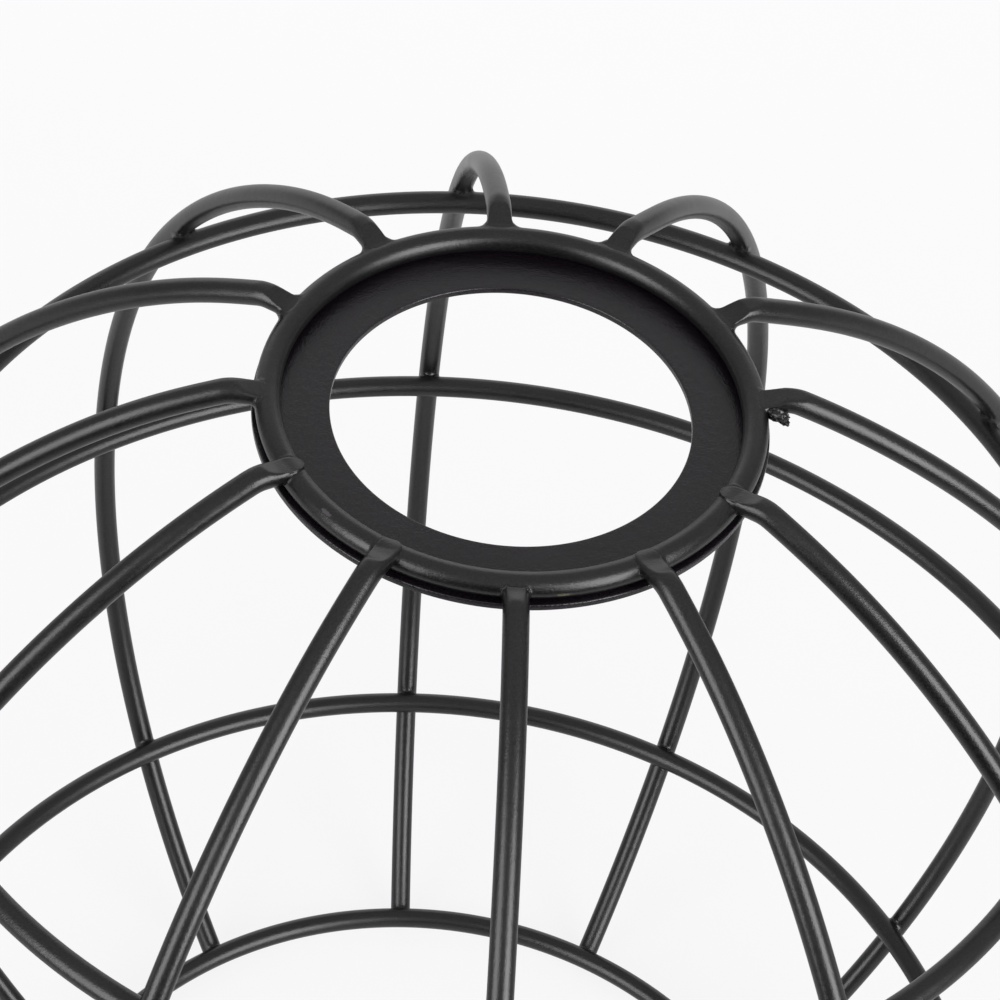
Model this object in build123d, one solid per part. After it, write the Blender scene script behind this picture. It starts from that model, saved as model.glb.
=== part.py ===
from build123d import *
import math
import os

# Wire cage lampshade: a punched plate takes the lampholder, a wire ring is welded
# on its edge, twelve bent ribs run down from the ring and four hoops tie them.
# Millimetres. +Z is up, and z = 0 is the plate's top face on the axis of the hole.

# One gauge of round wire makes the ring, the ribs and the hoops.
wire_diameter = 3.0

# Hub: the plate's hole takes the collar of a standard lampholder.
hole_diameter = 42.0
plate_diameter = 60.0
plate_thickness = 0.8
ring_inset = 0.3

# How far one piece sinks into the other where the two are welded.
ring_weld_depth = 0.1
rib_weld_depth = 1.1
hoop_weld_depth = 0.3

# How much the welding electrode presses off the top of a rib's level end.
weld_flat_depth = 0.9

# Rib: a level end across the ring, a sharp bend down, then two long arcs that
# meet at the belly. Angles are turned from level, so 90 degrees is the belly.
rib_end_overhang = 1.5
rib_level_run = 3.7
rib_bend_radius = 4.0
rib_bend_angle = 24.5
upper_arc_radius = 105.5
lower_arc_radius = 101.0
rib_tail = 1.0
rib_end_chamfer = 0.3

# Where each hoop sits on the ribs, by the angle the rib has turned there.
shoulder_angle = 54.5
belly_angle = 86.5
lower_angle = 120.5
bottom_angle = 140.5

# The ribs were set by hand: each stands this many degrees off its even place.
first_rib_angle = -90.0
ribs_off_pitch = (-1, -1, -2.5, 0, 1.5, 1.5, 1.5, 2, -1.5, 0.5, -1.5, 0)

wire_radius = wire_diameter / 2
ring_radius = plate_diameter / 2 - ring_inset - wire_radius
ring_height = wire_radius - ring_weld_depth
rib_height = ring_height + wire_diameter - rib_weld_depth
hoop_offset = wire_diameter - hoop_weld_depth
bend_start = ring_radius + rib_level_run
rib_start = ring_radius - rib_end_overhang
weld_flat_height = rib_height + wire_radius - weld_flat_depth


def along_arc(start, radius, from_angle, to_angle):
    """The (r, z) point that an arc from start reaches as the rib turns downwards."""
    turn_from = math.radians(from_angle)
    turn_to = math.radians(to_angle)
    r = start[0] + radius * (math.sin(turn_to) - math.sin(turn_from))
    z = start[1] + radius * (math.cos(turn_to) - math.cos(turn_from))
    return r, z


bend_end = along_arc((bend_start, rib_height), rib_bend_radius, 0, rib_bend_angle)
belly = along_arc(bend_end, upper_arc_radius, rib_bend_angle, 90)


def rib_point(angle):
    """The (r, z) point of a rib's centre line where it has turned by angle."""
    if angle <= 90:
        return along_arc(bend_end, upper_arc_radius, rib_bend_angle, angle)
    return along_arc(belly, lower_arc_radius, 90, angle)


def hoop(angle):
    """A ring of wire that lies against the inside of the ribs."""
    r, z = rib_point(angle)
    turn = math.radians(angle)
    hoop_radius = r - hoop_offset * math.sin(turn)
    hoop_height = z - hoop_offset * math.cos(turn)
    return Pos(0, 0, hoop_height) * Torus(hoop_radius, wire_radius)


def bent_wire():
    """One rib in the XZ plane, before its welds are let in."""
    tail_angle = bottom_angle + math.degrees(rib_tail / lower_arc_radius)
    level = Line((rib_start, rib_height), (bend_start, rib_height))
    bend = JernArc(level @ 1, level % 1, rib_bend_radius, -rib_bend_angle)
    upper = JernArc(bend @ 1, bend % 1, upper_arc_radius, rib_bend_angle - 90)
    lower = JernArc(upper @ 1, upper % 1, lower_arc_radius, 90 - tail_angle)
    path = Plane.XZ * (level + bend + upper + lower)
    section = Plane(path @ 0, z_dir=path % 0) * Circle(wire_radius)
    wire = sweep(section, path=path)
    ends = wire.faces().filter_by(GeomType.PLANE).edges()
    above = (Align.CENTER, Align.CENTER, Align.MIN)
    pressed_off = Box(plate_diameter, 2 * wire_diameter, wire_diameter, align=above)
    return chamfer(ends, rib_end_chamfer) - Pos(bend_start, 0, weld_flat_height) * pressed_off


plate_disc = Cylinder(plate_diameter / 2, plate_thickness)
plate_hole = Cylinder(hole_diameter / 2, 2 * plate_thickness)
hub_plate = Pos(0, 0, -plate_thickness / 2) * (plate_disc - plate_hole)

hub_ring = Pos(0, 0, ring_height) * Torus(ring_radius, wire_radius) - hub_plate
hoops = {
    "hoop_shoulder": hoop(shoulder_angle),
    "hoop_belly": hoop(belly_angle),
    "hoop_lower": hoop(lower_angle),
    "hoop_bottom": hoop(bottom_angle),
}

# The welds are let into the ribs, so that hoops and ring stay whole.
rib = bent_wire() - hub_ring
for each_hoop in hoops.values():
    rib = rib - each_hoop

parts = {"hub_plate": hub_plate, "hub_ring": hub_ring, **hoops}
rib_pitch = 360 / len(ribs_off_pitch)
for place, off_pitch in enumerate(ribs_off_pitch):
    angle = first_rib_angle - place * rib_pitch + off_pitch
    parts[f"rib_{place + 1:02d}"] = Rot(0, 0, angle) * rib

os.makedirs("parts", exist_ok=True)
for name, shape in parts.items():
    shape.label = name
    export_step(shape, f"parts/{name}.step")

print("belly over the ribs", round(2 * (belly[0] + wire_radius), 1))
print("height of the ribs", round(rib.bounding_box().size.Z, 1))
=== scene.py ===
import bpy
import numpy as np
from mathutils import Matrix, Vector


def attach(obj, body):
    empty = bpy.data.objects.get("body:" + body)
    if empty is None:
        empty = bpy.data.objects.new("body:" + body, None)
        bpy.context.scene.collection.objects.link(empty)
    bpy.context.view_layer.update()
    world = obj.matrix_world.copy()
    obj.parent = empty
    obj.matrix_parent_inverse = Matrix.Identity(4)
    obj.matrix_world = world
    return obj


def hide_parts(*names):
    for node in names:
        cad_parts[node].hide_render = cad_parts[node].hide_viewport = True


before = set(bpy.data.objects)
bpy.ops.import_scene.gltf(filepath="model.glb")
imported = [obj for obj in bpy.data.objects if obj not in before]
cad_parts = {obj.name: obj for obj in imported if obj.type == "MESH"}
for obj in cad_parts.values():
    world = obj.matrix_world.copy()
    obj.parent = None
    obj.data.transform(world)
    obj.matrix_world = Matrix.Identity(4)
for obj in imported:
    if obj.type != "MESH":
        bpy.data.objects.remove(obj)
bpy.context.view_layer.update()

# Shapes are worked out in millimetres and written to the meshes in metres.
millimetre = 0.001
tiny = 1e-9  # keeps every divisor above zero

# The sizes of the bare wires and the plate are those of the CAD solids.
cage = {
    "wireRadius": 1.5,
    "holeRadius": 21.0,
    "plateRadius": 30.0,
    "plateThickness": 0.8,
    "ringRadius": 28.2,
    "ringHeight": 1.4,
    "ribHeight": 3.3,
    "ribStart": 26.7,
    "bendStart": 31.9,
    "bendRadius": 4.0,
    "bendAngle": 24.5,
    "upperRadius": 105.5,
    "lowerRadius": 101.0,
    "tail": 1.0,
    "hoopOffset": 2.7,
    "floor": -172.6,
}
hoopAngles = {"hoop_shoulder": 54.5, "hoop_belly": 86.5, "hoop_lower": 120.5, "hoop_bottom": 140.5}
firstRibAngle = -90.0
ribsOffPitch = (-1, -1, -2.5, 0, 1.5, 1.5, 1.5, 2, -1.5, 0.5, -1.5, 0)
ribPitch = 360 / len(ribsOffPitch)
ribAngles = np.radians([firstRibAngle - ribPitch * k + off for k, off in enumerate(ribsOffPitch)])


def traceRib(count=20001):
    # Centre line of a rib in its own upright plane: it runs level, turns down in a small
    # bend, then follows two long arcs. Gives the length along it, r, z and the turn.
    bend = np.radians(cage["bendAngle"])
    end = np.radians(hoopAngles["hoop_bottom"]) + cage["tail"] / cage["lowerRadius"]
    legs = np.array([
        cage["bendStart"] - cage["ribStart"],
        cage["bendRadius"] * bend,
        cage["upperRadius"] * (np.pi / 2 - bend),
        cage["lowerRadius"] * (end - np.pi / 2),
    ])
    reached = np.concatenate([[0], np.cumsum(legs)])
    length = np.linspace(0, reached[-1], count)
    turn = np.interp(length, reached, [0, 0, bend, np.pi / 2, end])
    midTurn = (turn[1:] + turn[:-1]) / 2
    r = cage["ribStart"] + length[1] * np.concatenate([[0], np.cumsum(np.cos(midTurn))])
    z = cage["ribHeight"] - length[1] * np.concatenate([[0], np.cumsum(np.sin(midTurn))])
    return length, r, z, turn


ribTrace = traceRib()
ribTotal = ribTrace[0][-1]


def ribLine(length):
    # r, z and the turn at each length along a rib.
    return [np.interp(length, ribTrace[0], each) for each in ribTrace[1:]]


def lengthAtTurn(angle):
    # How far along a rib it has turned by this angle, in degrees.
    return float(np.interp(np.radians(angle), ribTrace[3], ribTrace[0]))


def ribPoint(angle):
    # Where a rib has turned by this angle: r, z, its arc's centre and the arc's radius.
    r, z, turn = ribLine(lengthAtTurn(angle))
    arc = cage["upperRadius"] if angle <= 90 else cage["lowerRadius"]
    return r, z, (r - arc * np.sin(turn), z - arc * np.cos(turn)), arc


def hoopLine(name):
    # Radius and height of a hoop's centre line, inside the ribs.
    turn = np.radians(hoopAngles[name])
    r, z, _, _ = ribPoint(hoopAngles[name])
    return r - cage["hoopOffset"] * np.sin(turn), z - cage["hoopOffset"] * np.cos(turn)


def smooth(share):
    # A share from 0 to 1, with soft ends.
    return share * share * (3 - 2 * share)


def roundedOff(distance, run):
    # The quarter circle in which a wire's end comes from nothing to full over this run.
    return np.sqrt(1 - np.clip(1 - distance / run, 0, 1) ** 2)


def stations(total, spacing, dense):
    # Places along a wire: spacing apart, and closer near each (place, half width, spacing).
    fine = np.linspace(0, total, 8001)
    rate = np.full(fine.shape, 1 / spacing)
    for place, half, close in dense:
        near = np.clip(1.5 - np.abs(fine - place) / half, 0, 1)
        rate = np.maximum(rate, smooth(near) / close)
    count = np.concatenate([[0], np.cumsum((rate[1:] + rate[:-1]) / 2 * fine[1])])
    return np.interp(np.linspace(0, count[-1], int(count[-1]) + 2), count, fine)


def softNoise(points, size, seed, waves=7, sizes=(0.7, 1.5), gain=1.6):
    # The mean of a few sine waves, each in its own direction, crests about size apart.
    dice = np.random.default_rng(seed)
    way = dice.normal(size=(waves, 3))
    way *= (2 * np.pi / (size * dice.uniform(*sizes, waves) * np.linalg.norm(way, axis=1)))[:, None]
    return gain * np.sin(points @ way.T + dice.uniform(0, 2 * np.pi, waves)).mean(axis=-1)


def gridNormals(grid, closedRows):
    # The cross product of the grid's two directions at each point.
    if closedRows:
        along = np.roll(grid, -1, axis=0) - np.roll(grid, 1, axis=0)
    else:
        along = np.gradient(grid, axis=0)
    turning = np.roll(grid, -1, axis=1) - np.roll(grid, 1, axis=1)
    normal = np.cross(turning, along)
    return normal / (np.linalg.norm(normal, axis=-1, keepdims=True) + tiny)


def inRibPlane(points, angle, aside):
    # How far out along a rib's upright plane each point lies, and how far to its side.
    out = points[..., 0] * np.cos(angle) + points[..., 1] * np.sin(angle)
    side = points[..., 1] * np.cos(angle) - points[..., 0] * np.sin(angle) - aside
    return out, side


def fromRibPlane(out, side, up, angle):
    # The same turned back into x, y and z.
    x = out * np.cos(angle) - side * np.sin(angle)
    y = out * np.sin(angle) + side * np.cos(angle)
    return np.stack([x, y, up], -1)


def torusField(radius, height):
    # Distance from a ring of round wire, and the direction in which it grows.
    def field(points):
        reach = np.hypot(points[:, 0], points[:, 1])
        out, up = reach - radius, points[:, 2] - height
        far = np.hypot(out, up) + tiny
        way = np.stack([out / far * points[:, 0] / reach, out / far * points[:, 1] / reach, up / far], -1)
        return far - cage["wireRadius"], way
    return field


def archField(angle, aside, centre, arcRadius):
    # The same for one rib beside a hoop, where the rib is an arc about centre in its own
    # upright plane, which stands aside from the axis by a little.
    def field(points):
        out, side = inRibPlane(points, angle, aside)
        out, up = out - centre[0], points[:, 2] - centre[1]
        reach = np.hypot(out, up) + tiny
        flat = reach - arcRadius
        total = np.hypot(flat, side) + tiny
        way = fromRibPlane(flat / total * out / reach, side / total, flat / total * up / reach, angle)
        return total - cage["wireRadius"], way
    return field


def endField(angle, end):
    # The same for a rib's welded end: a level wire, rounded off at its tip.
    height = cage["ribHeight"] + end["lift"]
    tip = end["tip"] + cage["wireRadius"] * ribShape["tipRounding"]

    def field(points):
        out, side = inRibPlane(points, angle, end["aside"])
        before, over = np.minimum(out - tip, 0), points[:, 2] - height
        total = np.sqrt(before ** 2 + side ** 2 + over ** 2) + tiny
        return total - cage["wireRadius"], fromRibPlane(before, side, over, angle) / total[:, None]
    return field


def ringTop(points, slope=2):
    # The height of the bare ring's upper skin over any point, falling away beside it.
    off = np.abs(np.hypot(points[..., 0], points[..., 1]) - cage["ringRadius"])
    over = np.clip(off - cage["wireRadius"], 0, None)
    skin = np.sqrt(np.clip(cage["wireRadius"] ** 2 - off ** 2, 0, None))
    return cage["ringHeight"] + skin - slope * over


def softMax(a, b, size):
    # The greater of two heights, with the corner between them rounded over this size.
    return np.maximum(a, b) + np.clip(size - np.abs(a - b), 0, None) ** 2 / (4 * size)


# The electrode's mark: the radius from which its rise counts, how it curls up further out,
# how far to each side it leans, its greatest height, where it dives at the tip, the lip
# beside a crack, where it runs down beside the rib, and how softly it meets the ring.
markShape = {
    "fromRadius": 29.7, "curl": 0.1, "leanReach": 1.6, "highest": 3.85,
    "diveStart": 0.7, "diveRun": 1.5,
    "lipHeight": 0.16, "lipPlace": 1.42, "lipWidth": 0.22,
    "besideStart": 1.45, "besideRun": 0.2, "besideFillet": 0.75, "deepest": 2,
    "under": 0.01, "valley": 0.5,
}


def pressLevel(end, out, side, skin):
    # The height of the mark over a point that is so far out and aside: it rises outwards,
    # leans sideways, runs down to the ring's skin beside the rib and dives at the tip.
    beyond = out - markShape["fromRadius"]
    plane = end["press"] + end["rise"] * beyond + markShape["curl"] * np.clip(beyond, 0, None) ** 2
    lean = end["lean"] * np.clip(side, -markShape["leanReach"], markShape["leanReach"])
    plane = np.minimum(plane + lean, markShape["highest"])
    dive = np.clip(end["tip"] + markShape["diveStart"] - out, 0, markShape["diveRun"])
    lip = np.exp(-((end["sharp"] * side - markShape["lipPlace"]) / markShape["lipWidth"]) ** 2)
    plane = plane - end["dive"] * dive ** 2 + markShape["lipHeight"] * lip * abs(end["sharp"])
    besideRun = markShape["besideRun"] + end["fillet"] * markShape["besideFillet"]
    beside = np.clip((np.abs(side) - markShape["besideStart"]) / besideRun, 0, 1)
    plane = plane - np.clip(plane - skin, 0, markShape["deepest"]) * smooth(beside)
    return softMax(plane, skin - markShape["under"], markShape["valley"])


def markOf(angle, end):
    # The electrode's mark on one rib's end, as a height over any point.
    def cap(points):
        out, side = inRibPlane(points, angle, end["aside"])
        return pressLevel(end, out, side, ringTop(points))
    return cap


# A crack beside a rib's end: how much of the fillet is lost and over what distance, and how
# far, how deep, how wide and how long the squeezed metal spreads there.
crackShape = {
    "filletLost": 0.9, "filletRun": 0.8,
    "spread": 0.4, "spreadDepth": 0.2, "spreadSide": 1.3, "spreadLength": 4.0,
}


def filletShare(angle, end):
    # Nearly all of a rib's fillet is missing on its sharp side, where the weld left a crack.
    def share(points):
        side = inRibPlane(points, angle, end["aside"])[1]
        return 1 - crackShape["filletLost"] * np.clip(end["sharp"] * side / crackShape["filletRun"], 0, 1)
    return share


# A fillet: how near another wire a skin is drawn out, how far at most, both in fillets, and
# how deep inside it; how uneven the fillet is; and how the skin dips past the seam.
joinShape = {
    "reach": 1.4, "highest": 0.6, "deepest": 0.5, "halvings": 14,
    "uneven": 0.08, "unevenSize": 2.4, "unevenSeed": 5, "least": 0.001,
    "dip": 0.08, "dipStart": 0.12, "dipRun": 0.25, "buriedRun": 0.3,
}


def growTogether(points, normals, field, fillet, cap=None, share=None):
    # Raises a wire's skin along its own normals to its smooth join with another wire:
    # the joined surface is where min(own, other) - (size - |own - other|)^2 / (4 size)
    # is zero, own being the height over the skin. The fillet shrinks where the two skins
    # face the same way, and past the seam the skin dips just under the other wire's. No
    # skin is raised over the cap, where an electrode has pressed it flat, and share is
    # how much of the fillet there is at each point.
    start, facing = points.reshape(-1, 3), normals.reshape(-1, 3)
    distance, way = field(start)
    near = (distance < fillet * joinShape["reach"]) & (distance > -joinShape["deepest"])
    begin, up = start[near], facing[near]
    apart = np.clip(1 - (up * way[near]).sum(-1), 0, 1)
    uneven = joinShape["uneven"] * softNoise(begin, joinShape["unevenSize"], joinShape["unevenSeed"])
    size = fillet * apart * (1 + uneven) + joinShape["least"]
    if share is not None:
        size = size * share(begin)
    low, high = np.zeros(len(begin)), np.full(len(begin), fillet * joinShape["highest"])
    for _ in range(joinShape["halvings"]):
        raised = (low + high) / 2
        other = field(begin + up * raised[:, None])[0]
        gap = np.clip(size - np.abs(raised - other), 0, None)
        inside = np.minimum(raised, other) - gap ** 2 / (4 * size) < 0
        low, high = np.where(inside, raised, low), np.where(inside, high, raised)
    other = field(begin + up * low[:, None])[0]
    past = joinShape["dip"] * np.clip((low - other - joinShape["dipStart"]) / joinShape["dipRun"], 0, 1)
    buried = np.clip(-distance[near] / joinShape["buriedRun"], 0, 1)
    raised = (low - past) * (1 - buried) ** 2
    result = start.copy()
    result[near] = begin + up * np.maximum(raised, 0)[:, None]
    if cap is not None:
        flat = cap(result[near]) - past
        result[near, 2] = np.minimum(result[near, 2], np.maximum(begin[:, 2], flat))
    return result.reshape(points.shape)


def addPiece(name, grid, closedRows, nodes, material):
    # One mesh from a grid of points whose columns close round the wire. An open grid is
    # closed by a pole at each end.
    rows, columns = grid.shape[:2]
    row = np.arange(rows if closedRows else rows - 1)[:, None]
    column = np.arange(columns)[None, :]
    nextRow, nextColumn = (row + 1) % rows, (column + 1) % columns
    quads = np.stack([
        row * columns + column, row * columns + nextColumn,
        nextRow * columns + nextColumn, nextRow * columns + column,
    ], -1).reshape(-1, 4)
    points = grid.reshape(-1, 3)
    fans = np.zeros((0, 3), int)
    if not closedRows:
        points = np.vstack([points, grid[0].mean(0), grid[-1].mean(0)])
        first = np.arange(columns)
        last = first + (rows - 1) * columns
        startPole = np.full(columns, rows * columns)
        fans = np.vstack([
            np.stack([np.roll(first, -1), first, startPole], -1),
            np.stack([last, np.roll(last, -1), startPole + 1], -1),
        ])
    loops = np.concatenate([quads.ravel(), fans.ravel()])
    sizes = np.concatenate([np.full(len(quads), 4), np.full(len(fans), 3)])
    starts = np.concatenate([[0], np.cumsum(sizes)[:-1]])
    mesh = bpy.data.meshes.new(name)
    mesh.vertices.add(len(points))
    mesh.vertices.foreach_set("co", (points * millimetre).astype(np.float32).ravel())
    mesh.loops.add(len(loops))
    mesh.loops.foreach_set("vertex_index", loops.astype(np.int32))
    mesh.polygons.add(len(sizes))
    mesh.polygons.foreach_set("loop_start", starts.astype(np.int32))
    mesh.polygons.foreach_set("loop_total", sizes.astype(np.int32))
    mesh.polygons.foreach_set("use_smooth", np.ones(len(sizes), bool))
    mesh.update(calc_edges=True)
    mesh.validate()
    mesh.materials.append(material)
    piece = bpy.data.objects.new(name, mesh)
    bpy.context.scene.collection.objects.link(piece)
    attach(piece, "root")
    if nodes:
        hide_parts(*nodes)
    return piece


print("surface functions ready")


def addNode(tree, kind, inputs=None, **settings):
    # A shader node with its settings, and its inputs set to values or linked to sockets.
    node = tree.nodes.new(kind)
    for name, value in settings.items():
        setattr(node, name, value)
    for name, value in (inputs or {}).items():
        if isinstance(value, bpy.types.NodeSocket):
            tree.links.new(value, node.inputs[name])
        else:
            node.inputs[name].default_value = value
    return node


def addMath(tree, operation, *values):
    return addNode(tree, "ShaderNodeMath", dict(enumerate(values)), operation=operation).outputs[0]


def addVector(tree, operation, inputs, output=0):
    return addNode(tree, "ShaderNodeVectorMath", inputs, operation=operation).outputs[output]


def addRamp(tree, value, begin, end, low=0.0, high=1.0, **settings):
    # From low at begin to high at end, and level beyond both.
    inputs = {"Value": value, "From Min": begin, "From Max": end, "To Min": low, "To Max": high}
    return addNode(tree, "ShaderNodeMapRange", inputs, **settings).outputs[0]


def addMix(tree, share, first, second):
    return addNode(tree, "ShaderNodeMix", {0: share, 2: first, 3: second}).outputs[0]


def addColourMix(tree, share, first, second):
    return addNode(tree, "ShaderNodeMix", {0: share, 6: first, 7: second}, data_type="RGBA").outputs[2]


def addNoise(tree, place, scale, detail, roughness):
    # Noise from 0 to 1, with so many waves in a metre.
    return addNode(tree, "ShaderNodeTexNoise", {
        "Vector": place, "Scale": scale, "Detail": detail, "Roughness": roughness}).outputs["Fac"]


def newGroup(name, inputs, outputs):
    # An empty node group with named sockets, and its input and output nodes.
    group = bpy.data.node_groups.new(name, "ShaderNodeTree")
    for label, kind, value in inputs:
        socket = group.interface.new_socket(label, in_out="INPUT", socket_type=kind)
        if value is not None:
            socket.default_value = value
    for label, kind in outputs:
        group.interface.new_socket(label, in_out="OUTPUT", socket_type=kind)
    return group, group.nodes.new("NodeGroupInput"), group.nodes.new("NodeGroupOutput")


def powderGrainGroup():
    # Baked powder: fine grains, a soft orange peel under them and slow changes of tone.
    group, given, made = newGroup(
        "powderGrain",
        [("Place", "NodeSocketVector", None), ("Grain Size", "NodeSocketFloat", 0.25),
         ("Peel Size", "NodeSocketFloat", 1.2), ("Peel Share", "NodeSocketFloat", 0.5)],
        [("Height", "NodeSocketFloat"), ("Tone", "NodeSocketFloat"), ("Cloud", "NodeSocketFloat")],
    )
    place = given.outputs["Place"]
    perGrain = addMath(group, "DIVIDE", 1 / millimetre, given.outputs["Grain Size"])
    perPeel = addMath(group, "DIVIDE", 1 / millimetre, given.outputs["Peel Size"])
    grain = addNoise(group, place, perGrain, detail=2.0, roughness=0.6)
    peel = addNoise(group, place, perPeel, detail=1.0, roughness=0.4)
    cloud = addNoise(group, place, 90.0, detail=2.0, roughness=0.5)
    height = addMix(group, given.outputs["Peel Share"], grain, peel)
    group.links.new(height, made.inputs["Height"])
    group.links.new(grain, made.inputs["Tone"])
    group.links.new(cloud, made.inputs["Cloud"])
    return group


def scuffMarkGroup():
    # One scuff: a streak round a line from Place along Way, broken up by a fine noise.
    group, given, made = newGroup(
        "scuffMark",
        [("Place", "NodeSocketVector", None), ("Centre", "NodeSocketVector", None),
         ("Way", "NodeSocketVector", None), ("Half Length", "NodeSocketFloat", 1.0),
         ("Half Width", "NodeSocketFloat", 0.3), ("Break Up", "NodeSocketFloat", 0.5)],
        [("Mask", "NodeSocketFloat")],
    )
    place, way = given.outputs["Place"], given.outputs["Way"]
    away = addVector(group, "SUBTRACT", {0: place, 1: given.outputs["Centre"]})
    along = addVector(group, "DOT_PRODUCT", {0: away, 1: way}, "Value")
    onLine = addVector(group, "SCALE", {0: way, "Scale": along})
    side = addVector(group, "SUBTRACT", {0: away, 1: onLine})
    width = addVector(group, "LENGTH", {0: side}, "Value")
    stretch = addMath(group, "DIVIDE", along, given.outputs["Half Length"])
    thick = addMath(group, "DIVIDE", width, given.outputs["Half Width"])
    square = addMath(group, "POWER", stretch, 2.0)
    cross = addMath(group, "POWER", thick, 2.0)
    spread = addMath(group, "ADD", square, cross)
    noise = addNoise(group, place, 4200.0, detail=3.0, roughness=0.7)
    rough = addMath(group, "SUBTRACT", noise, 0.5)
    shift = addMath(group, "MULTIPLY_ADD", rough, given.outputs["Break Up"], spread)
    mask = addRamp(group, shift, 1.0, 0.35, interpolation_type="SMOOTHSTEP")
    group.links.new(mask, made.inputs["Mask"])
    return group


def dustSpeckGroup():
    # Rare pale specks: the middles of a few of the cells that a Voronoi pattern makes.
    group, given, made = newGroup(
        "dustSpeck",
        [("Place", "NodeSocketVector", None), ("Cell", "NodeSocketFloat", 2.0),
         ("Share", "NodeSocketFloat", 0.1), ("Speck", "NodeSocketFloat", 0.05)],
        [("Mask", "NodeSocketFloat")],
    )
    scale = addMath(group, "DIVIDE", 1 / millimetre, given.outputs["Cell"])
    cells = addNode(group, "ShaderNodeTexVoronoi", {"Vector": given.outputs["Place"], "Scale": scale})
    colour = addNode(group, "ShaderNodeSeparateColor", {0: cells.outputs["Color"]})
    chosen = addMath(group, "LESS_THAN", colour.outputs[0], given.outputs["Share"])
    inner = addRamp(group, cells.outputs["Distance"], given.outputs["Speck"], 0.0)
    mask = addMath(group, "MULTIPLY", chosen, inner)
    group.links.new(mask, made.inputs["Mask"])
    return group


powderGrain, scuffMark, dustSpeck = powderGrainGroup(), scuffMarkGroup(), dustSpeckGroup()

# Marks on the coat: centre, direction, half length and half width in millimetres,
# strength, and the colour that shows. The first two are where the coat is rubbed; the last two are pale grey
# specks on the weld nib beside rib 10.
coatMarks = (
    {"centre": (-21.3, -19.6, 2.6), "way": (0.68, -0.73, 0), "length": 0.95, "width": 0.28,
     "strength": 0.4, "colour": (0.12, 0.11, 0.12)},
    {"centre": (5.0, -29.5, 1.2), "way": (0.98, 0.17, 0), "length": 1.4, "width": 0.4,
     "strength": 0.45, "colour": (0.13, 0.12, 0.07)},
    # Pale grey specks on the weld nib beside rib 10, drawn into the coat's colour.
    {"centre": (30.9, -0.8, 2.8), "way": (0.8, -0.6, 0.0), "length": 0.45, "width": 0.3,
     "strength": 0.7, "colour": (0.30, 0.30, 0.30)},
    {"centre": (31.9, -0.9, 2.5), "way": (0.8, -0.6, 0.0), "length": 0.4, "width": 0.28,
     "strength": 0.7, "colour": (0.30, 0.30, 0.30)},
)


def coatMaterial(name, look):
    # Matt black powder coat: grain in tone, gloss and bump, dust, rubbed places and pale specks.
    material = bpy.data.materials.new(name)
    material.use_nodes = True
    tree = material.node_tree
    shader = tree.nodes["Principled BSDF"]
    place = addNode(tree, "ShaderNodeTexCoord").outputs["Object"]

    def addGroup(group, inputs):
        return addNode(tree, "ShaderNodeGroup", {"Place": place, **inputs}, node_tree=group)

    def varied(noise, middle, spread):
        return addRamp(tree, noise, *look["noiseRange"], middle - spread, middle + spread)

    grain = addGroup(powderGrain, {
        "Grain Size": look["grainSize"], "Peel Size": look["peelSize"], "Peel Share": look["peelShare"]})
    tone = varied(grain.outputs["Tone"], 1, look["grainTone"])
    cloud = varied(grain.outputs["Cloud"], 1, look["cloudTone"])
    both = addMath(tree, "MULTIPLY", tone, cloud)
    colour = addVector(tree, "SCALE", {0: look["colour"], "Scale": both})
    dust = addGroup(dustSpeck, {"Share": look["dustShare"]})
    colour = addColourMix(tree, dust.outputs["Mask"], colour, look["dustColour"])
    gloss = varied(grain.outputs["Cloud"], look["roughness"], look["roughnessSpread"])
    for scuff in look["coatMarks"]:
        mark = addGroup(scuffMark, {
            "Centre": Vector(scuff["centre"]) * millimetre, "Way": Vector(scuff["way"]).normalized(),
            "Half Length": scuff["length"] * millimetre, "Half Width": scuff["width"] * millimetre,
            "Break Up": look["breakUp"]})
        amount = addMath(tree, "MULTIPLY", mark.outputs["Mask"], scuff["strength"])
        colour = addColourMix(tree, amount, colour, (*scuff["colour"], 1))
    tree.links.new(colour, shader.inputs["Base Color"])
    tree.links.new(gloss, shader.inputs["Roughness"])
    bump = addNode(tree, "ShaderNodeBump", {
        "Strength": look["bump"], "Distance": look["bumpDepth"] * millimetre,
        "Height": grain.outputs["Height"]})
    tree.links.new(bump.outputs[0], shader.inputs["Normal"])
    return material


wireLook = {
    "colour": (0.0055, 0.0050, 0.0056),
    "grainSize": 0.22, "peelSize": 1.1, "peelShare": 0.45,
    "noiseRange": (0.3, 0.7), "grainTone": 0.90, "cloudTone": 0.10,
    "roughness": 0.30, "roughnessSpread": 0.03,
    "bump": 0.6, "bumpDepth": 0.08,
    "dustShare": 0.02, "dustColour": (0.25, 0.25, 0.26, 1),
    "coatMarks": coatMarks, "breakUp": 2.2,
}
plateLook = {
    **wireLook,
    "colour": (0.0060, 0.0042, 0.0064),
    "grainSize": 0.26,
    "roughness": 0.22,
    "bump": 0.7, "bumpDepth": 0.12,
    "dustShare": 0.012,
    "coatMarks": (),
}
wireCoat = coatMaterial("blackCoatWire", wireLook)
plateCoat = coatMaterial("blackCoatPlate", plateLook)
print("materials ready")
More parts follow.
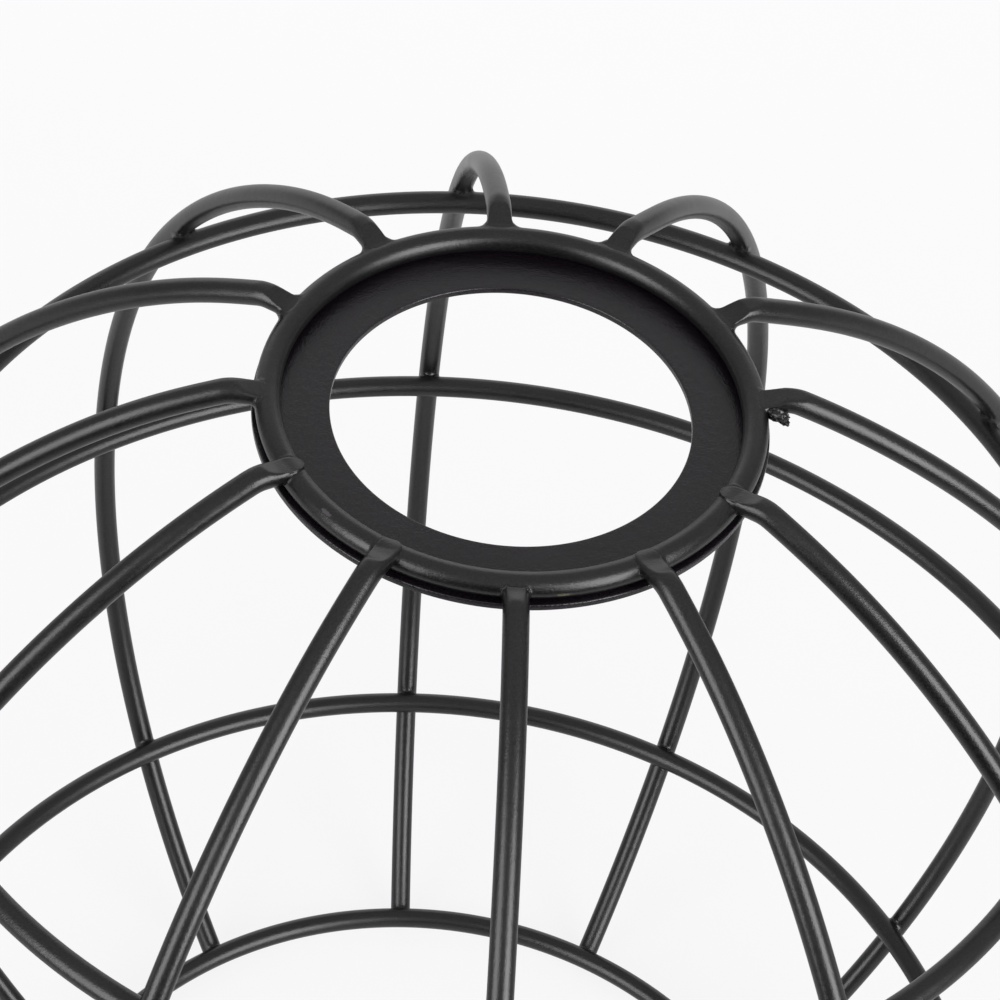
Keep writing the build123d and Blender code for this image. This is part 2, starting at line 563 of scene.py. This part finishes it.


# Each rib is listed one by one. At its welded end: how far in the tip reaches, how far it stands
# up and aside there, over what length it comes back to its even line (or, far out, to
# away), the height, outward rise and sideways lean of the electrode's mark, the fillet,
# how far the tip's rounding runs, how strongly the mark dives at the tip, and the side
# on which a crack with a raised lip takes the fillet's place.
ribEnds = (
    {"tip": 29.2, "lift": -1.9, "aside": 0.1, "fade": 12, "away": 0.1,
     "press": 2.62, "rise": 0.08, "lean": 0.0, "fillet": 0.6, "nose": 0.5, "dive": 0.8, "sharp": 0},
    {"tip": 27.1, "lift": -0.9, "aside": 0.32, "fade": 32, "away": 0.0,
     "press": 3.1, "rise": 0.12, "lean": 0.16, "fillet": 0.6, "nose": 1.6, "dive": 0.15, "sharp": 0.7},
    {"tip": 26.8, "lift": -0.9, "aside": -0.42, "fade": 13, "away": -0.05,
     "press": 3.2, "rise": 0.12, "lean": 0.1, "fillet": 0.4, "nose": 2.4, "dive": 0, "sharp": 1},
    {"tip": 28.3, "lift": -1.2, "aside": 0.62, "fade": 32, "away": 0.0,
     "press": 2.95, "rise": 0.16, "lean": 0.0, "fillet": 0.7, "nose": 1.0, "dive": 0.8, "sharp": 0},
    {"tip": 28.5, "lift": -0.9, "aside": 0.2, "fade": 20, "away": 0.0,
     "press": 2.93, "rise": 0.2, "lean": 0.0, "fillet": 1.3, "nose": 1.0, "dive": 0.9, "sharp": 0},
    {"tip": 28.5, "lift": -0.9, "aside": 0.33, "fade": 34, "away": 0.0,
     "press": 2.93, "rise": 0.2, "lean": 0.0, "fillet": 1.4, "nose": 1.0, "dive": 0.9, "sharp": 0},
    {"tip": 28.5, "lift": -0.9, "aside": 0.1, "fade": 10, "away": 0.0,
     "press": 2.93, "rise": 0.2, "lean": 0.0, "fillet": 1.4, "nose": 1.0, "dive": 0.9, "sharp": 0},
    {"tip": 28.5, "lift": -0.9, "aside": 0.9, "fade": 8.5, "away": 0.08,
     "press": 2.93, "rise": 0.2, "lean": 0.0, "fillet": 1.4, "nose": 1.0, "dive": 0.9, "sharp": 0},
    {"tip": 28.5, "lift": -0.5, "aside": 0.9, "fade": 10, "away": 0.1,
     "press": 2.93, "rise": 0.2, "lean": 0.0, "fillet": 1.3, "nose": 1.0, "dive": 0.9, "sharp": 0},
    {"tip": 28.3, "lift": -0.5, "aside": 0.95, "fade": 15, "away": -0.1,
     "press": 3.0, "rise": 0.24, "lean": 0.0, "fillet": 0.7, "nose": 1.0, "dive": 0.8, "sharp": 0},
    {"tip": 26.8, "lift": -0.9, "aside": 0.5, "fade": 12, "away": -0.05,
     "press": 3.2, "rise": 0.12, "lean": -0.1, "fillet": 0.4, "nose": 2.4, "dive": 0, "sharp": -1},
    {"tip": 27.1, "lift": -0.9, "aside": 0.0, "fade": 25, "away": 0.2,
     "press": 3.1, "rise": 0.12, "lean": -0.16, "fillet": 0.6, "nose": 1.6, "dive": 0.15, "sharp": -0.7},
)

# Points round the wire and spacing along it. The dense rows are pairs of half width and
# spacing. The tail's pull is how much thinner the cut lower end is at its rim.
ribShape = {
    "around": 44, "spacing": 0.9, "tipDense": ((5.5, 0.16), (1.2, 0.07)), "tailDense": (1.0, 0.12),
    "crossDense": (2.6, 0.2), "liftFade": 13.0, "pressEdge": 0.10, "markLength": 10.0,
    "tipEdge": 0.3, "tipRounding": 0.8, "tailEdge": 0.3, "tailPull": 0.2, "hoopFillet": 0.9,
}


def setByHand(length, end):
    # How far a rib stands up and aside from its even line, at each length along it.
    lift = end["lift"] * np.exp(-(length / ribShape["liftFade"]) ** 2)
    near = np.exp(-(length / end["fade"]) ** 2)
    return lift, end["aside"] * near + end["away"] * (1 - near)


def makeRib(number, angle, end):
    # A round profile carried along the rib's line. Towards the tip it closes in plan like
    # a tongue, and the electrode's mark caps its height with a soft edge.
    start = end["tip"] - cage["ribStart"]
    left = ribTotal - start
    dense = [(0, *tip) for tip in ribShape["tipDense"]] + [(left, *ribShape["tailDense"])]
    dense += [(lengthAtTurn(a) - start, *ribShape["crossDense"]) for a in hoopAngles.values()]
    length = start + stations(left, ribShape["spacing"], dense)
    r, z, turn = ribLine(length)
    lift, aside = setByHand(length, end)
    around = np.linspace(0, 2 * np.pi, ribShape["around"], endpoint=False)
    fromTip, fromTail = length - start, ribTotal - length
    tongue = roundedOff(fromTip, end["nose"])
    edge = roundedOff(fromTip, ribShape["tipEdge"])
    tailEdge = 1 - ribShape["tailPull"] * (1 - roundedOff(fromTail, ribShape["tailEdge"]))
    across = cage["wireRadius"] * (tongue * tailEdge)[:, None] * np.cos(around)
    up = cage["wireRadius"] * (edge * tailEdge)[:, None] * np.sin(around)
    out = r[:, None] + up * np.sin(turn)[:, None]
    height = (z + lift)[:, None] + up * np.cos(turn)[:, None]
    side = across + aside[:, None]
    grid = fromRibPlane(out, side, height, angle)
    level = pressLevel(end, out, across, ringTop(grid))
    raised = np.clip((height - level) / crackShape["spreadDepth"], 0, 1)
    cracked = np.clip(end["sharp"] * across / crackShape["spreadSide"], 0, 1) ** 2
    fade = np.exp(-(fromTip / crackShape["spreadLength"]) ** 2)[:, None]
    side = side + end["sharp"] * crackShape["spread"] * raised * cracked * fade
    below = ribShape["pressEdge"] * np.logaddexp(0, (level - height) / ribShape["pressEdge"])
    height = np.where((fromTip < ribShape["markLength"])[:, None], level - below, height)
    grid = fromRibPlane(out, side, height, angle)
    normals = gridNormals(grid, False)
    ring = torusField(cage["ringRadius"], cage["ringHeight"])
    grid = growTogether(grid, normals, ring, end["fillet"], markOf(angle, end), filletShare(angle, end))
    for name in hoopAngles:
        grid = growTogether(grid, normals, torusField(*hoopLine(name)), ribShape["hoopFillet"])
    grid[..., 2] = np.maximum(grid[..., 2], cage["floor"])
    return addPiece(f"ribWire{number:02d}", grid, False, [f"rib_{number:02d}"], wireCoat)


def torusGrid(radius, height, shape, dense):
    # A bare ring of wire: rows go round the axis, columns round the wire.
    arc = stations(2 * np.pi * radius, shape["spacing"], dense)[:-1, None] / radius
    around = np.linspace(2 * np.pi, 0, shape["around"], endpoint=False)
    out = radius + cage["wireRadius"] * np.cos(around)
    up = height + cage["wireRadius"] * np.sin(around) + np.zeros_like(arc)
    return np.stack([out * np.cos(arc), out * np.sin(arc), up], -1)


hoopShape = {"around": 36, "spacing": 1.2, "crossDense": (2.6, 0.2), "fillet": 0.9}


def makeHoop(name):
    # A torus with its skin drawn out to each rib that it meets.
    radius, height = hoopLine(name)
    dense = [((a % (2 * np.pi)) * radius, *hoopShape["crossDense"]) for a in ribAngles]
    grid = torusGrid(radius, height, hoopShape, dense)
    normals = gridNormals(grid, True)
    _, _, centre, arcRadius = ribPoint(hoopAngles[name])
    for angle, end in zip(ribAngles, ribEnds):
        rib = archField(angle, end["away"], centre, arcRadius)
        grid = growTogether(grid, normals, rib, hoopShape["fillet"])
    return addPiece("hoopWire" + name.removeprefix("hoop_").capitalize(), grid, True, [name], wireCoat)


ringShape = {"around": 48, "spacing": 0.22}


def makeRing():
    # The hub's ring: a torus drawn out to the level end of each rib.
    grid = torusGrid(cage["ringRadius"], cage["ringHeight"], ringShape, [])
    normals = gridNormals(grid, True)
    for angle, end in zip(ribAngles, ribEnds):
        grid = growTogether(grid, normals, endField(angle, end), end["fillet"], markOf(angle, end),
                            filletShare(angle, end))
    return addPiece("hubRingWire", grid, True, ["hub_ring"], wireCoat)


plateShape = {
    "turns": 480, "topRows": 24, "bottomRows": 12, "cornerRows": 7,
    "rollOver": 0.16, "burr": 0.06,
}


def makePlate():
    # A flat washer as a closed profile turned about the axis. Both upper edges are rolled
    # over by the punch and both lower ones are nearly sharp.
    inner, outer, thick = cage["holeRadius"], cage["plateRadius"], cage["plateThickness"]
    roll, burr = plateShape["rollOver"], plateShape["burr"]
    corner = np.linspace(0, np.pi / 2, plateShape["cornerRows"])

    def arc(centreR, centreZ, size, begin):
        turn = begin - corner
        return np.stack([centreR + size * np.cos(turn), centreZ + size * np.sin(turn)], -1)

    def face(begin, end, height, rows):
        return np.stack([np.linspace(begin, end, rows + 2)[1:-1], np.full(rows, height)], -1)

    profile = np.vstack([
        arc(inner + roll, -roll, roll, np.pi),
        face(inner + roll, outer - roll, 0, plateShape["topRows"]),
        arc(outer - roll, -roll, roll, np.pi / 2),
        arc(outer - burr, -thick + burr, burr, 0),
        face(outer - burr, inner + burr, -thick, plateShape["bottomRows"]),
        arc(inner + burr, -thick + burr, burr, -np.pi / 2),
    ])
    angle = np.linspace(0, 2 * np.pi, plateShape["turns"], endpoint=False)[:, None]
    r, z = profile[:, 0], profile[:, 1] + np.zeros_like(angle)
    grid = np.stack([r * np.cos(angle), r * np.sin(angle), z], -1)
    return addPiece("hubPlateWasher", grid, True, ["hub_plate"], plateCoat)


# Beads of metal thrown out of the welds: middle, half sizes along, across and up, the way
# the first runs, and how jagged each is.
spatters = (
    {"name": "weldNibRib10", "centre": (30.65, -0.55, 2.2), "half": (1.45, 1.0, 0.8),
     "way": (0.8, -0.6), "jag": 0.30},
    {"name": "weldTipRib10", "centre": (31.35, -1.35, 1.95), "half": (0.75, 0.5, 0.5),
     "way": (0.6, -0.8), "jag": 0.35},
    {"name": "weldBurrRib04", "centre": (-30.0, -1.25, 1.9), "half": (0.5, 0.42, 0.4),
     "way": (0.8, 0.6), "jag": 0.28},
    {"name": "weldEarRib01Left", "centre": (-1.65, -29.5, 2.2), "half": (0.36, 0.26, 0.3),
     "way": (0.6, 0.8), "jag": 0.25},
    {"name": "weldEarRib01Right", "centre": (0.75, -29.6, 2.2), "half": (0.42, 0.26, 0.3),
     "way": (0.6, -0.8), "jag": 0.25},
)
spatterShape = {
    "rows": 38, "around": 60, "pulledIn": 0.6, "thrownOut": 1.3,
    "crest": 1.3, "seed": 60, "fineCrest": 0.55, "fineSeed": 80, "fineShare": 0.5,
}


def makeSpatter(number, bead):
    # A ball of these half sizes, pushed in and out along its radius by a jagged noise.
    up = np.linspace(np.pi, 0, spatterShape["rows"] + 2)[1:-1, None]
    around = np.linspace(0, 2 * np.pi, spatterShape["around"], endpoint=False)
    ball = np.stack([np.sin(up) * np.cos(around), np.sin(up) * np.sin(around),
                     np.cos(up) + np.zeros_like(around)], -1)
    crest = np.abs(softNoise(ball, spatterShape["crest"], spatterShape["seed"] + number))
    fine = np.abs(softNoise(ball, spatterShape["fineCrest"], spatterShape["fineSeed"] + number))
    jagged = spatterShape["thrownOut"] * (crest + spatterShape["fineShare"] * fine) - spatterShape["pulledIn"]
    shape = ball * np.array(bead["half"]) * (1 + bead["jag"] * jagged)[..., None]
    along, across, height = np.moveaxis(shape, -1, 0)
    grid = fromRibPlane(along, across, height, np.arctan2(bead["way"][1], bead["way"][0]))
    return addPiece(bead["name"], grid + np.array(bead["centre"]), False, [], wireCoat)


pieces = [makeRib(k + 1, angle, end) for k, (angle, end) in enumerate(zip(ribAngles, ribEnds))]
print("ribs made")
pieces += [makeHoop(name) for name in hoopAngles]
pieces += [makeRing(), makePlate()]
pieces += [makeSpatter(k, bead) for k, bead in enumerate(spatters)]
print("hoops, ring and plate made")
print("triangles", sum(len(p.data.loops) - 2 * len(p.data.polygons) for p in pieces))


# Each soft box stands at azimuth and elevation, seen from aim. The room's strengths are
# what surfaces see above, at the side, ahead and in the bright backdrop, and white is what
# the camera sees; each range says where the room fades from one to the next.
studio = {
    "right": {"azimuth": -47, "elevation": 15, "distance": 0.85,
              "width": 0.52, "height": 0.84, "power": 10.0},
    "left": {"azimuth": -142, "elevation": 15, "distance": 0.85,
             "width": 0.50, "height": 0.78, "power": 6.0},
    "aim": (0, 0, -0.03),
    "top": 0.60, "side": 0.28, "front": 0.12, "backdrop": 0.75,
    "white": 0.955,
    "upRange": (-0.1, 0.9), "aheadRange": (-0.95, -0.6), "lowRange": (0.0, 0.4),
    "behindRange": (0.70, 0.88), "underRange": (0.62, 0.45),
}


def addSoftBox(name, box):
    # A rectangular lamp that faces the hub from the given direction.
    lamp = bpy.data.lights.new(name, "AREA")
    lamp.shape = "RECTANGLE"
    lamp.size, lamp.size_y = box["width"], box["height"]
    lamp.energy = box["power"]
    a, e = np.radians(box["azimuth"]), np.radians(box["elevation"])
    away = Vector((np.cos(a) * np.cos(e), np.sin(a) * np.cos(e), np.sin(e)))
    lampObject = bpy.data.objects.new(name, lamp)
    bpy.context.scene.collection.objects.link(lampObject)
    lampObject.location = Vector(studio["aim"]) + away * box["distance"]
    lampObject.rotation_euler = away.to_track_quat("Z", "Y").to_euler()
    lampObject.visible_camera = False


def addWorld():
    # White to the camera. To the surfaces it is a room, lighter above, dim low down in
    # front, with a bright backdrop behind.
    world = bpy.data.worlds.new("studioRoom")
    bpy.context.scene.world = world
    world.use_nodes = True
    tree = world.node_tree
    background = tree.nodes["Background"]
    seenFrom = addNode(tree, "ShaderNodeTexCoord").outputs["Generated"]
    way = addNode(tree, "ShaderNodeSeparateXYZ", {0: seenFrom})
    forward, upward = way.outputs["Y"], way.outputs["Z"]
    walls = addRamp(tree, upward, *studio["upRange"], studio["side"], studio["top"])
    ahead = addRamp(tree, forward, *studio["aheadRange"], 1.0, 0.0)
    low = addRamp(tree, upward, *studio["lowRange"], studio["front"], 1.0)
    dimmed = addMath(tree, "MULTIPLY", walls, low)
    room = addMix(tree, ahead, walls, dimmed)
    behind = addRamp(tree, forward, *studio["behindRange"], 0.0, studio["backdrop"])
    under = addRamp(tree, upward, *studio["underRange"])
    backdrop = addMath(tree, "MULTIPLY", behind, under)
    lit = addMath(tree, "ADD", room, backdrop)
    seen = addNode(tree, "ShaderNodeLightPath")
    level = addMix(tree, seen.outputs["Is Camera Ray"], lit, studio["white"])
    tree.links.new(level, background.inputs["Strength"])
    background.inputs["Color"].default_value = (1, 1, 1, 1)


# Lengths in metres. The tone is what the camera sees from near to far, a painted fall of light that is darker
# in front and lighter behind, and the gleam is what reflections see; each fades over its range of y.
floorLook = {
    "halfSize": 4.0, "below": 0.0002,
    "near": (0.822, 0.812, 0.822, 1), "far": (0.888, 0.885, 0.892, 1), "toneRange": (-0.15, 0.35),
    "gleam": (0.03, 0.75), "gleamRange": (-0.32, -0.11),
    "shadowed": (0.10, 0.10, 0.10, 1), "matt": (0.55, 0.55, 0.55, 1),
}


def addFloor():
    # The floor shows white to the camera and in reflections near the cage, and takes the
    # cage's soft shadow; to scattered light it is a pale matt sheet.
    size, z = floorLook["halfSize"], cage["floor"] * millimetre - floorLook["below"]
    corners = [(-size, -size, z), (size, -size, z), (size, size, z), (-size, size, z)]
    mesh = bpy.data.meshes.new("paleFloor")
    mesh.from_pydata(corners, [], [(0, 1, 2, 3)])
    floor = bpy.data.objects.new("paleFloor", mesh)
    bpy.context.scene.collection.objects.link(floor)
    material = bpy.data.materials.new("paleSheet")
    material.use_nodes = True
    tree = material.node_tree
    tree.nodes.clear()
    seen = addNode(tree, "ShaderNodeLightPath")
    overFloor = addNode(tree, "ShaderNodeTexCoord").outputs["Object"]
    place = addNode(tree, "ShaderNodeSeparateXYZ", {0: overFloor})
    # Painted fall of light: the floor's glow to the camera is darker in front and lighter behind.
    depth = addRamp(tree, place.outputs["Y"], *floorLook["toneRange"])
    tone = addColourMix(tree, depth, floorLook["near"], floorLook["far"])
    reach = addRamp(tree, place.outputs["Y"], *floorLook["gleamRange"], *floorLook["gleam"])
    cameraGlow = addNode(tree, "ShaderNodeEmission", {"Color": tone, "Strength": 1.0})
    gleam = addNode(tree, "ShaderNodeEmission", {"Color": (1, 1, 1, 1), "Strength": reach})
    shadowed = addNode(tree, "ShaderNodeBsdfDiffuse", {"Color": floorLook["shadowed"]})
    toCamera = addNode(tree, "ShaderNodeAddShader", {0: cameraGlow.outputs[0], 1: shadowed.outputs[0]})
    matt = addNode(tree, "ShaderNodeBsdfDiffuse", {"Color": floorLook["matt"]})
    mirrored = addMath(tree, "MAXIMUM", seen.outputs["Is Glossy Ray"], seen.outputs["Is Transmission Ray"])
    others = addNode(tree, "ShaderNodeMixShader", {0: mirrored, 1: matt.outputs[0], 2: gleam.outputs[0]})
    result = addNode(tree, "ShaderNodeMixShader", {
        0: seen.outputs["Is Camera Ray"], 1: others.outputs[0], 2: toCamera.outputs[0]})
    output = addNode(tree, "ShaderNodeOutputMaterial")
    tree.links.new(result.outputs[0], output.inputs["Surface"])
    mesh.materials.append(material)


addSoftBox("softBoxRight", studio["right"])
addSoftBox("softBoxLeft", studio["left"])
addWorld()
addFloor()
bpy.context.scene.view_settings.view_transform = "Standard"
print("studio ready")


# The camera, fitted to the hole, ring, ribs and hoops of the photograph.
view = {
    "focalPixels": 3847.7, "imagePixels": 1000, "sensorWidth": 36.0, "clip": (0.01, 50.0),
    "distance": 443.91, "elevation": 45.889, "azimuth": -6.253, "roll": 6.847,
    "right": -0.125, "up": -10.132,
}


def addCamera():
    # It looks back along a line from the hub's middle, moved a little left and down.
    a, e, roll = np.radians([view["azimuth"], view["elevation"], view["roll"]])
    back = np.array([np.sin(a) * np.cos(e), -np.cos(a) * np.cos(e), np.sin(e)])
    right = np.array([np.cos(a), np.sin(a), 0.0])
    up = np.cross(back, right)
    place = (right * view["right"] + up * view["up"] + back * view["distance"]) * millimetre
    turnedRight = right * np.cos(roll) + up * np.sin(roll)
    turnedUp = up * np.cos(roll) - right * np.sin(roll)
    camera = bpy.data.cameras.new("photoCamera")
    camera.sensor_width = view["sensorWidth"]
    camera.lens = view["focalPixels"] / view["imagePixels"] * camera.sensor_width
    camera.clip_start, camera.clip_end = view["clip"]
    cameraObject = bpy.data.objects.new("photoCamera", camera)
    bpy.context.scene.collection.objects.link(cameraObject)
    turned = np.stack([turnedRight, turnedUp, back, place], -1)
    cameraObject.matrix_world = Matrix([*turned.tolist(), (0, 0, 0, 1)])
    bpy.context.scene.camera = cameraObject


addCamera()
print("camera ready")
